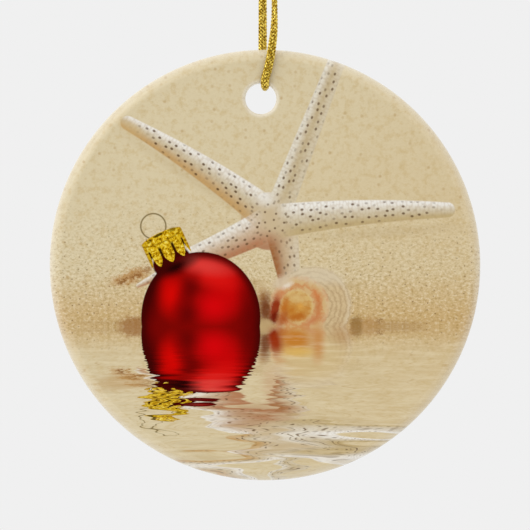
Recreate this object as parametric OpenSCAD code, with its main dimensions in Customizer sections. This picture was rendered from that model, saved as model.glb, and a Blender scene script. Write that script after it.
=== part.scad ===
// Round ceramic picture ornament on a loop of flat gold braid.
// Millimetres. The origin is the point inside the top of the loop that a hook bears on.
// +Z is up, the picture faces -Y, and +X is to the right of someone who looks at the picture.

/* [Disc] */
// Diameter of the finished disc
disc_d = 73; // [69:0.5:90]
// Thickness of the finished disc, picture coat and glaze included
disc_t = 3.2; // [3.2:0.1:4]
// Radius that the front edge of the disc is rounded to
front_edge_r = 2.1; // [1.6:0.1:2.1]
// Radius that the back edge of the disc is rounded to
back_edge_r = 0.8; // [0.6:0.1:1]

/* [Hanging hole] */
// Diameter of the hole at its narrowest
hole_d = 5.2; // [4.8:0.1:5.6]
// Height of the hole's centre above the centre of the disc
hole_rise = 28.1; // [26.5:0.1:28.5]
// How far the hole lies to the left of the disc's centre
hole_left = 0.7; // [0.4:0.1:1]
// Radius that the two edges of the hole are rounded to
hole_edge_r = 0.6; // [0.5:0.05:0.7]

/* [Coats] */
// Thickness of the white glaze all round the porcelain
glaze_t = 0.15; // [0.1:0.01:0.2]
// Thickness of the clear coat that holds the picture's dye
coat_t = 0.1; // [0.08:0.01:0.15]

/* [Cord] */
// Width of the flat braid
cord_w = 1.5; // [1.2:0.1:1.5]
// Thickness of the flat braid
cord_t = 0.95; // [0.8:0.05:0.95]
// Width of the braid where it is squeezed together inside the hole
cord_w_in_hole = 1; // [0.9:0.05:1]
// Height of the loop, from the cord in the hole up to the hook
loop_h = 68; // [60:1:75]
// Height of the knot above the loop
knot_h = 6; // [5:0.25:7]
// Diameter of the knot
knot_d = 5.8; // [5:0.1:6.5]

/* [Hidden] */

$fn = 96;
CORD_SIDES = 8;
KNOT_FOOT = 0.5;
SPLIT_RISE = 24;

// The cord crosses the hole this far above the disc's centre: above the disc's centre of mass, and
// cord_gap_in_hole away from the wall of the hole.
cord_gap_in_hole = 0.1;
cord_to_hole = hole_d / 2 - cord_w_in_hole / 2 - cord_gap_in_hole;
cord_rise = hole_rise + sqrt(pow(cord_to_hole, 2) - pow(hole_left, 2));
disc_z = -loop_h - cord_rise;

// Depth along Y of each skin's outer face, and the radii of the disc inside each skin.
front_y = -disc_t / 2;
back_y = disc_t / 2;
glaze_front_y = front_y + coat_t;
body_front_y = glaze_front_y + glaze_t;
body_back_y = back_y - glaze_t;
glaze_r = disc_d / 2 - coat_t;
body_r = glaze_r - glaze_t;

// The cord's route, piece by piece: x, y, z, width, and the turn of its broad side away from X.
// Heights in the bight and the legs are above the point where the cord crosses the hole.
BIGHT = [
    [1.6, -2.5, 24, cord_w, 90], [1.6, -2.5, 21, cord_w, 85], [1.6, -2.5, 18, cord_w, 80],
    [1.6, -2.5, 15, cord_w, 75], [1.6, -2.5, 12, cord_w, 65], [1.5, -2.4, 9.5, cord_w, 40],
    [1.2, -2.3, 7, cord_w, 10], [0.8, -2.2, 4.5, cord_w, 0], [0.3, -2.2, 2.4, cord_w, 0],
    [0, -2.2, 1.2, cord_w, 0], [0, -1.8, 0.3, 1.4, 0], [0, -0.9, 0, cord_w_in_hole, 0],
    [0, 0, 0, cord_w_in_hole, 0], [0, 0.9, 0, cord_w_in_hole, 0], [0, 1.8, 0.3, 1.4, 0],
    [0, 2.2, 1.2, cord_w, 0], [-0.2, 2.2, 3, cord_w, 0], [-0.4, 2.2, 6, cord_w, 0],
    [-0.4, 2.2, 9, cord_w, 0], [-0.4, 2.3, 12, cord_w, 10], [-0.4, 2.4, 15, cord_w, 15],
    [-0.4, 2.4, 18, cord_w, 20], [-0.4, 2.4, 21, cord_w, 25], [-0.4, 2.4, 24, cord_w, 30]
];
FRONT_LEG = [
    [1.6, -2.5, 24, cord_w, 90], [1.6, -2.5, 25, cord_w, 90], [1.6, -2.5, 28, cord_w, 90],
    [1.6, -2.4, 32, cord_w, 90], [1.6, -2.2, 36, cord_w, 90], [1.5, -1.9, 40, cord_w, 90],
    [1.5, -1.6, 44, cord_w, 90], [1.4, -1.3, 48, cord_w, 90], [1.3, -1, 52, cord_w, 90],
    [1.1, -0.7, 56, cord_w, 90], [0.9, -0.4, 60, cord_w, 90], [0.7, -0.2, 64, cord_w, 90],
    [0.5, 0, 67, cord_w, 90], [0.5, 0, 68 + KNOT_FOOT, cord_w, 90]
];
BACK_LEG = [
    [-0.4, 2.4, 24, cord_w, 30], [-0.4, 2.4, 25, cord_w, 35], [-0.4, 2.4, 28, cord_w, 40],
    [-0.4, 2.3, 32, cord_w, 50], [-0.5, 2.1, 36, cord_w, 60], [-0.6, 1.9, 40, cord_w, 70],
    [-0.7, 1.6, 44, cord_w, 80], [-0.8, 1.3, 48, cord_w, 85], [-0.8, 1, 52, cord_w, 90],
    [-0.8, 0.7, 56, cord_w, 90], [-0.7, 0.4, 60, cord_w, 90], [-0.6, 0.2, 64, cord_w, 90],
    [-0.5, 0, 67, cord_w, 90], [-0.5, 0, 68 + KNOT_FOOT, cord_w, 90]
];
// Heights in the tails are above the top of the knot.
FRONT_TAIL = [
    [0.8, 0, 0, cord_w, 90], [0.8, 0, 0.5, cord_w, 90], [1.1, -0.1, 2, cord_w, 80],
    [1.6, -0.3, 3.5, cord_w, 70], [2.3, -0.6, 5, cord_w, 60]
];
BACK_TAIL = [
    [-0.8, 0, 0, cord_w, 90], [-0.8, 0, 0.5, cord_w, 90], [-1, 0.1, 2, cord_w, 100],
    [-1.2, 0.2, 4, cord_w, 110], [-1.3, 0.5, 6, cord_w, 120]
];

// ---- Disc ----

// Half of a disc's section, with its two outer corners rounded by arcs of front_r and back_r.
module disc_section(radius, y_front, y_back, front_r, back_r) {
    translate([0, y_front + front_r]) square([radius, y_back - back_r - y_front - front_r]);
    translate([0, y_front]) square([radius - front_r, front_r + 0.01]);
    translate([0, y_back - back_r - 0.01]) square([radius - back_r, back_r + 0.01]);
    intersection() {
        translate([radius - front_r, y_front + front_r]) circle(front_r);
        translate([0, y_front]) square([radius, front_r + 0.01]);
    }
    intersection() {
        translate([radius - back_r, y_back - back_r]) circle(back_r);
        translate([0, y_back - back_r - 0.01]) square([radius, back_r + 0.01]);
    }
}

// Turns a section drawn as radius against depth about an axis that runs along Y.
module about_y() {
    rotate([-90, 0, 0]) rotate_extrude() children();
}

module whole_disc(radius, y_front, y_back, front_r, back_r) {
    translate([0, 0, disc_z]) about_y() disc_section(radius, y_front, y_back, front_r, back_r);
}

// The space of the hole, with a mouth that flares as wide as the rounding of its edges.
module hole_space(radius, y_front, y_back, edge_r) {
    translate([-hole_left, 0, disc_z + hole_rise]) about_y() {
        translate([0, y_front - 1]) square([radius, y_back - y_front + 2]);
        for (end = [[y_front, 1], [y_back, -1]])
            difference() {
                translate([0, end[0] + (end[1] > 0 ? -1 : -edge_r)]) square([radius + edge_r, edge_r + 1]);
                translate([radius + edge_r, end[0] + end[1] * edge_r]) circle(edge_r);
            }
    }
}

// Porcelain with the hole in it, before it is glazed.
module bare_disc() {
    difference() {
        whole_disc(body_r, body_front_y, body_back_y, front_edge_r - coat_t - glaze_t, back_edge_r - glaze_t);
        hole_space(hole_d / 2 + glaze_t, body_front_y, body_back_y, hole_edge_r - glaze_t);
    }
}

// The same disc with the thickness of the glaze added all round.
module glazed_disc() {
    difference() {
        whole_disc(glaze_r, glaze_front_y, back_y, front_edge_r - coat_t, back_edge_r);
        hole_space(hole_d / 2, glaze_front_y, back_y, hole_edge_r);
    }
}

module porcelain_disc() {
    color("ivory") bare_disc();
}

module glaze() {
    color("white") difference() {
        glazed_disc();
        bare_disc();
    }
}

// The coat lies on the front face, runs over the rounded front edge and stops at the hole's edge.
module picture_coat() {
    coat_back_y = front_y + front_edge_r;
    color("burlywood") difference() {
        whole_disc(disc_d / 2, front_y, back_y, front_edge_r, back_edge_r);
        whole_disc(glaze_r, glaze_front_y, back_y + 1, front_edge_r - coat_t, back_edge_r);
        translate([0, coat_back_y, disc_z]) rotate([-90, 0, 0]) cylinder(h = disc_t, r = disc_d);
        translate([-hole_left, front_y - 1, disc_z + hole_rise])
            rotate([-90, 0, 0]) cylinder(h = disc_t + 2, r = hole_d / 2 + hole_edge_r);
    }
}

// ---- Cord ----

function unit(v) = v / norm(v);
function place(p) = [p[0], p[1], p[2]];
function heading(route, i) =
    unit(place(route[min(i + 1, len(route) - 1)]) - place(route[max(i - 1, 0)]));

// The oval ring of points round point i of a route, square to the route there.
function ring(route, i) =
    let (t = heading(route, i),
         flat = unit([1, 0, 0] - t * t[0]),
         side = cross(t, flat),
         turn = route[i][4],
         broad = flat * cos(turn) + side * sin(turn),
         thin = cross(t, broad))
    [for (k = [0 : CORD_SIDES - 1])
        place(route[i]) + broad * cos(360 * k / CORD_SIDES) * route[i][3] / 2
                        + thin * sin(360 * k / CORD_SIDES) * cord_t / 2];

// A closed tube along a route, lifted by rise.
module cord_tube(route, rise) {
    n = len(route);
    points = [for (i = [0 : n - 1]) each ring(route, i)];
    walls = [for (i = [0 : n - 2], k = [0 : CORD_SIDES - 1])
        let (a = i * CORD_SIDES + k, b = i * CORD_SIDES + (k + 1) % CORD_SIDES)
        each [[a, a + CORD_SIDES, b], [b, a + CORD_SIDES, b + CORD_SIDES]]];
    first_end = [for (k = [0 : CORD_SIDES - 1]) k];
    last_end = [for (k = [CORD_SIDES - 1 : -1 : 0]) (n - 1) * CORD_SIDES + k];
    color("goldenrod") translate([0, 0, rise]) polyhedron(points, concat(walls, [first_end, last_end]));
}

module cord_bight() {
    cord_tube(BIGHT, -loop_h);
}

module cord_front_leg() {
    cord_tube(FRONT_LEG, -loop_h);
}

module cord_back_leg() {
    cord_tube(BACK_LEG, -loop_h);
}

// The outer shape of the overhand knot that joins both ends: a barrel with a flat foot and top.
module cord_knot() {
    knot_r = knot_d / 2;
    round_r = knot_h / 3;
    color("darkgoldenrod") translate([0, 0, KNOT_FOOT]) rotate_extrude() {
        square([knot_r - round_r, knot_h]);
        translate([0, round_r]) square([knot_r, knot_h - 2 * round_r]);
        for (z = [round_r, knot_h - round_r])
            intersection() {
                translate([knot_r - round_r, z]) circle(round_r);
                square([knot_r, knot_h]);
            }
    }
}

module cord_front_tail() {
    cord_tube(FRONT_TAIL, KNOT_FOOT + knot_h);
}

module cord_back_tail() {
    cord_tube(BACK_TAIL, KNOT_FOOT + knot_h);
}

porcelain_disc();
glaze();
picture_coat();
cord_bight();
cord_front_leg();
cord_back_leg();
cord_knot();
cord_front_tail();
cord_back_tail();
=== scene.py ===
# %% [markdown]
# # A round picture ornament on a loop of gold cord
#
# The real object is made of three things. A thin disc of porcelain is fired, glazed white and fired
# again. A clear glossy coat on its front takes up the dyes of a picture in a heat press. One length
# of flat gold braid goes through a hole near the rim, and both of its ends are tied together in a
# knot.
#
# The frame comes first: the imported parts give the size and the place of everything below.

# %% Frame
import math
import bpy
import numpy as np
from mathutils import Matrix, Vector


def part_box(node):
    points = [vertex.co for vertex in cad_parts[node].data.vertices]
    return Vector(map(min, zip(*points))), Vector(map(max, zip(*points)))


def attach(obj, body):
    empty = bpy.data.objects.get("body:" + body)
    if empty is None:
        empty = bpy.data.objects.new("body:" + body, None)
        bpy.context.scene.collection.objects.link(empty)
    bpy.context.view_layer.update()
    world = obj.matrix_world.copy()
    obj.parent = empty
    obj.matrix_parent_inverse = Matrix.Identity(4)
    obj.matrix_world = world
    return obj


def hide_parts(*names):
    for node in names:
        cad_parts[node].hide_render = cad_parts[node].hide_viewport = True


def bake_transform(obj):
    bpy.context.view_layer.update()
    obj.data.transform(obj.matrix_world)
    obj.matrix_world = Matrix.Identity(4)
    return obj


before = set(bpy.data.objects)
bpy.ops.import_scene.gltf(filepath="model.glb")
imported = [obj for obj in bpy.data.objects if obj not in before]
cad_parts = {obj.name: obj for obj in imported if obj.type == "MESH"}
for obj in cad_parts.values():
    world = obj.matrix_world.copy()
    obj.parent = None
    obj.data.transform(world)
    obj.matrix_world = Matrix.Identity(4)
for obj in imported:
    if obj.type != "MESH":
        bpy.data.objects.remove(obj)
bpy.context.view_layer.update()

# %% [markdown]
# Blender counts in metres, and a maker of ornaments counts in millimetres. So every size below is
# in millimetres, and is multiplied by MM where it becomes a place in the scene. The disc's centre,
# radius and thickness are read from the picture coat's and the glaze's boxes. A box can't say where
# a hole is, so its sizes are named here.

# %% Sizes
MM = 0.001
coat_low, coat_high = (np.array(corner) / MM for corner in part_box("picture_coat"))
glaze_high = np.array(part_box("glaze")[1]) / MM
DISC_CENTRE = (coat_low + coat_high) / 2 * (0, 0, 1)
DISC_R = (coat_high[2] - coat_low[2]) / 2
FRONT_Y, BACK_Y = coat_low[1], glaze_high[1]
FRONT_EDGE_R, BACK_EDGE_R = 2.1, 0.8
HOLE_R, HOLE_EDGE_R, HOLE_RISE, HOLE_LEFT = 2.6, 0.6, 28.1, 0.7
COAT_T = 0.1
LOOP_H = 68.0
print(f"disc: radius {DISC_R:.2f} mm, centre at z {DISC_CENTRE[2]:.2f} mm")
print(f"disc: from y {FRONT_Y:.2f} to {BACK_Y:.2f} mm")

# %% [markdown]
# ## Camera and light
#
# The camera looks straight at the picture. A long lens from half a metre away flattens the view, as
# in a catalogue, so the disc's side doesn't show. Light is a soft white surround with one large
# soft lamp at the upper left. That lamp brightens the rounded rim on the left and leaves it darker
# on the right, which is all that tells the eye that this disc has a thickness. Nothing bright is
# near the camera, because the glossy face would mirror it. The view is VIEW_W millimetres wide
# where the picture is, so the camera's distance is VIEW_W times lens over sensor.

# %% Camera
VIEW_W = 89.46
LENS, SENSOR = 200.0, 36.0
distance = VIEW_W * LENS / SENSOR
camera_data = bpy.data.cameras.new("camera")
camera_data.lens, camera_data.sensor_width = LENS, SENSOR
camera = bpy.data.objects.new("camera", camera_data)
camera.location = (0.0, (FRONT_Y - distance) * MM, DISC_CENTRE[2] * MM)
camera.rotation_euler = (math.radians(90), 0.0, 0.0)
bpy.context.scene.collection.objects.link(camera)
bpy.context.scene.camera = camera
print(f"camera {distance:.0f} mm in front of the picture")

# %% [markdown]
# ## Tools for surfaces
#
# Every new piece is a sheet of points on a grid: one direction goes round a section, the other goes
# along a path. The arrays are worked out whole, and one function turns any number of such sheets
# into a mesh.

# %% Grids to meshes
def unit(vectors):
    """Each vector divided by its own length."""
    return vectors / np.linalg.norm(vectors, axis=-1, keepdims=True)


def sheet_faces(rows, columns, close_rows, close_columns, first):
    """Faces (r, c), (r, c + 1), (r + 1, c + 1), (r + 1, c) of a grid; a closed direction wraps."""
    r = np.arange(rows if close_rows else rows - 1)[:, None]
    c = np.arange(columns if close_columns else columns - 1)[None, :]
    r2, c2 = (r + 1) % rows, (c + 1) % columns
    corners = np.stack(np.broadcast_arrays(r * columns + c, r * columns + c2, r2 * columns + c2,
                                           r2 * columns + c), -1)
    return corners.reshape(-1, 4) + first


def make_mesh(name, points, faces, materials, uv=None, face_material=None):
    """A smooth-shaded mesh object from points in millimetres and faces as lists of point numbers.

    It may have a UV pair for each point, and the number of a material for each face.
    """
    mesh = bpy.data.meshes.new(name)
    mesh.from_pydata((points * MM).tolist(), [],
                     faces.tolist() if isinstance(faces, np.ndarray) else faces)
    if uv is not None:
        corner_points = np.empty(len(mesh.loops), dtype=np.int32)
        mesh.loops.foreach_get("vertex_index", corner_points)
        corner_uv = uv[corner_points].astype(np.float32)
        mesh.uv_layers.new(name="yarn").data.foreach_set("uv", corner_uv.ravel())
    for material in materials:
        mesh.materials.append(material)
    if face_material is not None:
        mesh.polygons.foreach_set("material_index", face_material)
    mesh.shade_smooth()
    piece = bpy.data.objects.new(name, mesh)
    bpy.context.scene.collection.objects.link(piece)
    triangles = sum(len(polygon.vertices) - 2 for polygon in mesh.polygons)
    print(f"{name}: {len(mesh.vertices)} points, {triangles} triangles")
    return piece

# %% [markdown]
# ## The cord
#
# One length of gold braid starts at one cut tail, goes through the knot, down in front of the disc,
# back through the hole, up behind the disc and through the knot again to the other tail. It is a
# flat braid: 1.5 mm broad and about 0.95 mm thick, and only 1 mm broad where its own turn squeezes
# it together in the hole.
#
# The rows below are the same points that the CAD's cord is built on: x, y, height, width, and the
# angle that the broad side is turned away from X. The legs are turned by 90 degrees at the top, so
# that they meet flat side to flat side where the knot takes them both.

# %% Route of the two legs and the turn in the hole
CORD_W, CORD_T, HOLE_W = 1.5, 0.95, 1.0
BIGHT = [
    [1.6, -2.5, 24, CORD_W, 90], [1.6, -2.5, 21, CORD_W, 85], [1.6, -2.5, 18, CORD_W, 80],
    [1.6, -2.5, 15, CORD_W, 75], [1.6, -2.5, 12, CORD_W, 65], [1.5, -2.4, 9.5, CORD_W, 40],
    [1.2, -2.3, 7, CORD_W, 10], [0.8, -2.2, 4.5, CORD_W, 0], [0.3, -2.2, 2.4, CORD_W, 0],
    [0, -2.2, 1.2, CORD_W, 0], [0, -1.8, 0.3, 1.4, 0], [0, -0.9, 0, HOLE_W, 0],
    [0, 0, 0, HOLE_W, 0], [0, 0.9, 0, HOLE_W, 0], [0, 1.8, 0.3, 1.4, 0],
    [0, 2.2, 1.2, CORD_W, 0], [-0.2, 2.2, 3, CORD_W, 0], [-0.4, 2.2, 6, CORD_W, 0],
    [-0.4, 2.2, 9, CORD_W, 0], [-0.4, 2.3, 12, CORD_W, 10], [-0.4, 2.4, 15, CORD_W, 15],
    [-0.4, 2.4, 18, CORD_W, 20], [-0.4, 2.4, 21, CORD_W, 25], [-0.4, 2.4, 24, CORD_W, 30],
]
FRONT_LEG = [
    [1.6, -2.5, 28, CORD_W, 90], [1.6, -2.4, 32, CORD_W, 90], [1.6, -2.2, 36, CORD_W, 90],
    [1.5, -1.9, 40, CORD_W, 90], [1.5, -1.6, 44, CORD_W, 90], [1.4, -1.3, 48, CORD_W, 90],
    [1.3, -1, 52, CORD_W, 90], [1.1, -0.7, 56, CORD_W, 90], [0.9, -0.4, 60, CORD_W, 90],
    [0.7, -0.2, 64, CORD_W, 90], [0.5, 0, 67, CORD_W, 90],
]
BACK_LEG = [
    [-0.4, 2.4, 28, CORD_W, 40], [-0.4, 2.3, 32, CORD_W, 50], [-0.5, 2.1, 36, CORD_W, 60],
    [-0.6, 1.9, 40, CORD_W, 70], [-0.7, 1.6, 44, CORD_W, 80], [-0.8, 1.3, 48, CORD_W, 85],
    [-0.8, 1, 52, CORD_W, 90], [-0.8, 0.7, 56, CORD_W, 90], [-0.7, 0.4, 60, CORD_W, 90],
    [-0.6, 0.2, 64, CORD_W, 90], [-0.5, 0, 67, CORD_W, 90],
]
FRONT_TAIL = [[0.8, 0, 8.2, CORD_W, 90], [1.1, -0.1, 9.4, CORD_W, 80],
              [1.7, -0.3, 10.8, CORD_W, 70], [2.4, -0.6, 12.2, CORD_W, 60]]
BACK_TAIL = [[-0.8, 0, 8.4, CORD_W, 90], [-1, 0.1, 9.8, CORD_W, 100],
             [-1.2, 0.2, 11.4, CORD_W, 110], [-1.3, 0.5, 13, CORD_W, 120]]

# %% [markdown]
# The knot is a plain overhand knot tied with both strands together. Its line crosses itself three
# times, under and over by turns: under at the foot, over in the middle, under at the top, then once
# more round and over, under, over. Heights count from the knot's middle, and a negative depth is in
# front. The two strands lie side by side in the plane of the knot, half a cord to either side of
# this line.

# %% Route of the knot
KNOT_MIDDLE = 3.6
KNOT = np.array([
    [0, 0, -3.2], [0, 0.75, -1.9], [0.3, -0.8, 0.5], [1.3, 0, 1.9], [-0.7, 0.8, 2.8],
    [-1.9, 0.1, 1.7], [-2.2, 0, 0], [-1.4, -0.7, -1.6], [0, -0.95, -2.0], [1.5, -0.6, -1.4],
    [1.9, 0, -0.3], [0.3, 0.85, 0.5], [-0.7, 0.1, 1.3], [-0.7, -0.9, 2.8], [0, 0, 4.4]])
STRAND_GAP = 0.85
KNOT_WIDTH = 0.9 * CORD_W
KNOT_STEPS, CORD_STEPS = 40, 1600


def spline(places, values, at):
    """Natural cubic spline through values at places.

    For steps h and slopes s between the places, its bends m solve
    h0 m0 + 2 (h0 + h1) m1 + h1 m2 = 6 (s1 - s0).
    """
    h = np.diff(places)[:, None]
    inner = np.arange(1, len(places) - 1)
    system = np.eye(len(places))
    system[inner, inner - 1], system[inner, inner + 1] = h[:-1, 0], h[1:, 0]
    system[inner, inner] = 2 * (h[:-1, 0] + h[1:, 0])
    right = np.zeros_like(values)
    right[1:-1] = 6 * np.diff(np.diff(values, axis=0) / h, axis=0)
    m = np.linalg.solve(system, right)
    k = np.clip(np.searchsorted(places, at) - 1, 0, len(places) - 2)
    left, step = (at - places[k])[:, None], h[k]
    togo = step - left
    bend = (m[k] * togo**3 + m[k + 1] * left**3) / (6 * step)
    from_left = (values[k] / step - m[k] * step / 6) * togo
    from_right = (values[k + 1] / step - m[k + 1] * step / 6) * left
    return bend + from_left + from_right


def lengths(points):
    """Distance along a line from its first point to each of its points."""
    return np.concatenate([[0.0], np.cumsum(np.linalg.norm(np.diff(points, axis=0), axis=1))])


def flat_rows(rows, rise):
    """Rows x, y, z, width and broad side of a route, from rows x, y, z, width, turn.

    The broad side is flat cos(turn) + side sin(turn), where side is heading x flat.
    """
    rows = np.array(rows, float)
    points = rows[:, :3] + (0, 0, rise)
    heading = unit(np.gradient(points, axis=0))
    flat = unit(np.array([1.0, 0.0, 0.0]) - heading * heading[:, :1])
    turn = np.radians(rows[:, 4:])
    broad = flat * np.cos(turn) + np.cross(heading, flat) * np.sin(turn)
    return np.hstack([points, rows[:, 3:4], broad])


def knot_rows(beside):
    """Rows of one strand of the knot, shifted beside millimetres sideways in the knot's plane."""
    along = lengths(KNOT)
    line = spline(along, KNOT, np.linspace(0, along[-1], KNOT_STEPS))
    heading = unit(np.gradient(line, axis=0))
    sideways = unit(np.cross(heading, [0.0, -1.0, 0.0]))
    points = line + sideways * beside + (0, 0, KNOT_MIDDLE)
    width = np.full((len(line), 1), KNOT_WIDTH)
    return np.hstack([points, width, np.cross(heading, sideways)])


front = np.vstack([flat_rows(FRONT_LEG, -LOOP_H), knot_rows(STRAND_GAP / 2),
                   flat_rows(FRONT_TAIL, 0)])
back = np.vstack([flat_rows(BACK_LEG, -LOOP_H), knot_rows(-STRAND_GAP / 2),
                  flat_rows(BACK_TAIL, 0)])
cord_rows = np.vstack([front[::-1], flat_rows(BIGHT, -LOOP_H), back])
# A broad side that points the other way than the one before it is turned over.
same_way = np.sign(np.sum(cord_rows[1:, 4:] * cord_rows[:-1, 4:], axis=1))
cord_rows[:, 4:] *= np.cumprod(np.concatenate([[1.0], same_way]))[:, None]
rough_length = lengths(cord_rows[:, :3])
fine_rows = spline(rough_length, cord_rows, np.linspace(0, rough_length[-1], CORD_STEPS))
cord_at = lengths(fine_rows[:, :3])
CORD_LENGTH = cord_at[-1]
print(f"cord: {CORD_LENGTH:.1f} mm from tip to tip")

# %% [markdown]
# A braiding machine carries six yarns round to the left and six round to the right. Each yarn runs
# over two of the others and under two. Six yarns of one direction pass any point of the surface in
# one turn, so a turn of 3.6 mm gives the braid its chevrons 0.6 mm apart. A yarn is a flat ribbon,
# much wider than it is thick, that sits on an oval a little inside the cord's own outline. Over the
# last 2 mm at each tip the yarns fray: they spread apart, each by its own amount, and end at
# lengths of their own.
#
# At crossing number n = 12 s / turn, right-hand yarn i is on top when (n + 2 i) mod 4 is 0 or 1,
# and left-hand yarn j when (2 j - n) mod 4 is 2 or 3. A cosine of the same period lifts and sinks
# them smoothly.

# %% Braid
TURN_LENGTH = 3.6
YARN_W, YARN_T = 0.37, 0.17
YARN_INSET, CORE_INSET = 0.18, 0.26
WEAVE_RISE = 0.13
FRAY_LENGTH, UNEVEN_TIPS = 2.0, 0.7
YARNS_A_SIDE, YARN_CORNERS = 6, 6
RINGS = 1040
HEADING_STEP = 0.05
random = np.random.default_rng(7)


def cord_frame(along):
    """Middle, broad side, thin side and width of the cord at any distances along it."""
    def rows_at(places):
        """Rows of the cord at places along it, on a straight line between two known rows."""
        return np.stack([np.interp(places, cord_at, column) for column in fine_rows.T], -1)

    table = rows_at(along)
    ahead, behind = rows_at(along + HEADING_STEP), rows_at(along - HEADING_STEP)
    heading = unit(ahead[..., :3] - behind[..., :3])
    thin = unit(np.cross(heading, table[..., 4:]))
    return table[..., :3], np.cross(thin, heading), thin, table[..., 3:4]


def braid_yarns():
    """Rings of all twelve yarns: middle + broad a cos(angle) + thin b sin(angle) + outward lift.

    A flat oval section of six corners goes round that line. Each point gets a UV pair too.
    """
    number = np.arange(YARNS_A_SIDE)[:, None]
    yarns = 2 * YARNS_A_SIDE
    tips = random.uniform(0.0, UNEVEN_TIPS, (yarns, 2))
    along = np.linspace(tips[:, 0], CORD_LENGTH - tips[:, 1], RINGS, axis=1)
    n = yarns * along / TURN_LENGTH
    right_hand, left_hand = n[:YARNS_A_SIDE] + 2 * number, 2 * number - n[YARNS_A_SIDE:]
    angle = np.vstack([right_hand, left_hand]) * 2 * np.pi / yarns
    phase = np.vstack([right_hand - 0.5, left_hand - 2.5])
    from_tip = np.minimum(along, CORD_LENGTH - along)
    fray = np.clip(1 - from_tip / FRAY_LENGTH, 0, 1)[..., None] ** 2
    lift = WEAVE_RISE * np.cos(phase * np.pi / 2)[..., None] * (1 - fray)
    middle, broad, thin, width = cord_frame(along)
    half_a = width / 2 - YARN_INSET + fray * random.uniform(0.1, 0.8, (yarns, 1, 1))
    half_b = CORD_T / 2 - YARN_INSET + fray * random.uniform(0.0, 0.6, (yarns, 1, 1))
    cos, sin = np.cos(angle)[..., None], np.sin(angle)[..., None]
    outward = unit(broad * cos / half_a + thin * sin / half_b)
    line = middle + broad * cos * half_a + thin * sin * half_b + outward * lift
    heading = unit(np.gradient(line, axis=1))
    sideways = unit(np.cross(heading, outward))
    up = np.cross(sideways, heading)
    share = np.arange(YARN_CORNERS) / YARN_CORNERS
    corner = share * 2 * np.pi
    across = sideways[:, :, None] * np.cos(corner)[:, None] * YARN_W / 2
    points = line[:, :, None] + across + up[:, :, None] * np.sin(corner)[:, None] * YARN_T / 2
    uv = np.stack(np.broadcast_arrays(along[:, :, None], share), -1)
    return points, uv


def closed_tubes(points):
    """Faces of tubes given as (tube, ring, corner) points, with both ends of each tube closed."""
    tubes, rings, corners = points.shape[:3]
    first = np.arange(tubes) * rings * corners
    walls = np.vstack([sheet_faces(rings, corners, False, True, start) for start in first])
    near_end = first[:, None] + np.arange(corners)[None, ::-1]
    far_end = first[:, None] + (rings - 1) * corners + np.arange(corners)[None, :]
    return walls[:, ::-1].tolist() + near_end[:, ::-1].tolist() + far_end[:, ::-1].tolist()

# %% [markdown]
# ## The disc
#
# The disc's hole is off centre, so circles are laid from the hole's edge to the rim's edge that
# change centre and size evenly. As the hole is nearer the middle than the rim, no two of them
# cross. The same circles go on round the rounded rim, over the back and in again through the hole
# until they close on themselves, like the skin of a ring.

# %% Disc shapes
SEGMENTS = 192
FACE_CIRCLES, EDGE_CIRCLES, COAT_EDGE_CIRCLES = 9, 10, 12
NEAR_EDGE = 0.008
COAT_DEPTH = COAT_T - 0.01
LEFT_OFF = 4
HOLE_CENTRE = np.array([-HOLE_LEFT, HOLE_RISE])


def circle_rows(offset, radius, y):
    """Rows of centre x, centre z, radius and y; offset 1 is the hole's centre, 0 the disc's."""
    offset, radius, y = np.broadcast_arrays(np.atleast_1d(np.asarray(offset, float)), radius, y)
    return np.column_stack([offset * HOLE_CENTRE[0], offset * HOLE_CENTRE[1], radius, y])


def quarter(steps):
    """Cosine and sine of angles from 0 to 90 degrees."""
    angle = np.linspace(0, np.pi / 2, steps)
    return np.cos(angle), np.sin(angle)


def face_rows(hole_radius, rim_radius, y, steps):
    """Circles of a flat face from the hole's edge to the rim's, with one more close to either."""
    share = np.concatenate([[0, NEAR_EDGE], np.linspace(0, 1, steps)[1:-1], [1 - NEAR_EDGE, 1]])
    return circle_rows(1 - share, hole_radius + (rim_radius - hole_radius) * share, y)


def skin_of_circles(name, rows, materials):
    """A closed skin made of one circle for each row: x = cx + r cos(a), z = cz + r sin(a)."""
    angle = np.arange(SEGMENTS) / SEGMENTS * 2 * np.pi
    cx, cz, radius, y = (column[:, None] for column in rows.T)
    depth = np.broadcast_to(y, (len(rows), SEGMENTS))
    points = np.stack([cx + radius * np.cos(angle), depth, cz + radius * np.sin(angle)], -1)
    points = points + DISC_CENTRE
    faces = sheet_faces(len(rows), SEGMENTS, True, True, 0)
    piece = make_mesh(name, points.reshape(-1, 3), faces, materials)
    piece.data.set_sharp_from_angle(angle=math.radians(50))
    return piece


def glazed_disc_rows():
    """Front face, front edge, back edge, back face and the hole's two edges, all glazed."""
    cos, sin = quarter(EDGE_CIRCLES)
    rim, front_r, front = DISC_R - COAT_T, FRONT_EDGE_R - COAT_T, FRONT_Y + COAT_T
    mouth = HOLE_R + HOLE_EDGE_R
    return np.vstack([
        face_rows(mouth, rim - front_r, front, FACE_CIRCLES)[:-1],
        circle_rows(0, rim - front_r + front_r * sin, front + front_r - front_r * cos),
        circle_rows(0, rim - BACK_EDGE_R + BACK_EDGE_R * cos,
                    BACK_Y - BACK_EDGE_R + BACK_EDGE_R * sin),
        face_rows(mouth, rim - BACK_EDGE_R, BACK_Y, FACE_CIRCLES)[-2:0:-1],
        circle_rows(1, mouth - HOLE_EDGE_R * sin, BACK_Y - HOLE_EDGE_R + HOLE_EDGE_R * cos),
        circle_rows(1, mouth - HOLE_EDGE_R * cos, front + HOLE_EDGE_R - HOLE_EDGE_R * sin)[:-1],
    ])


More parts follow.
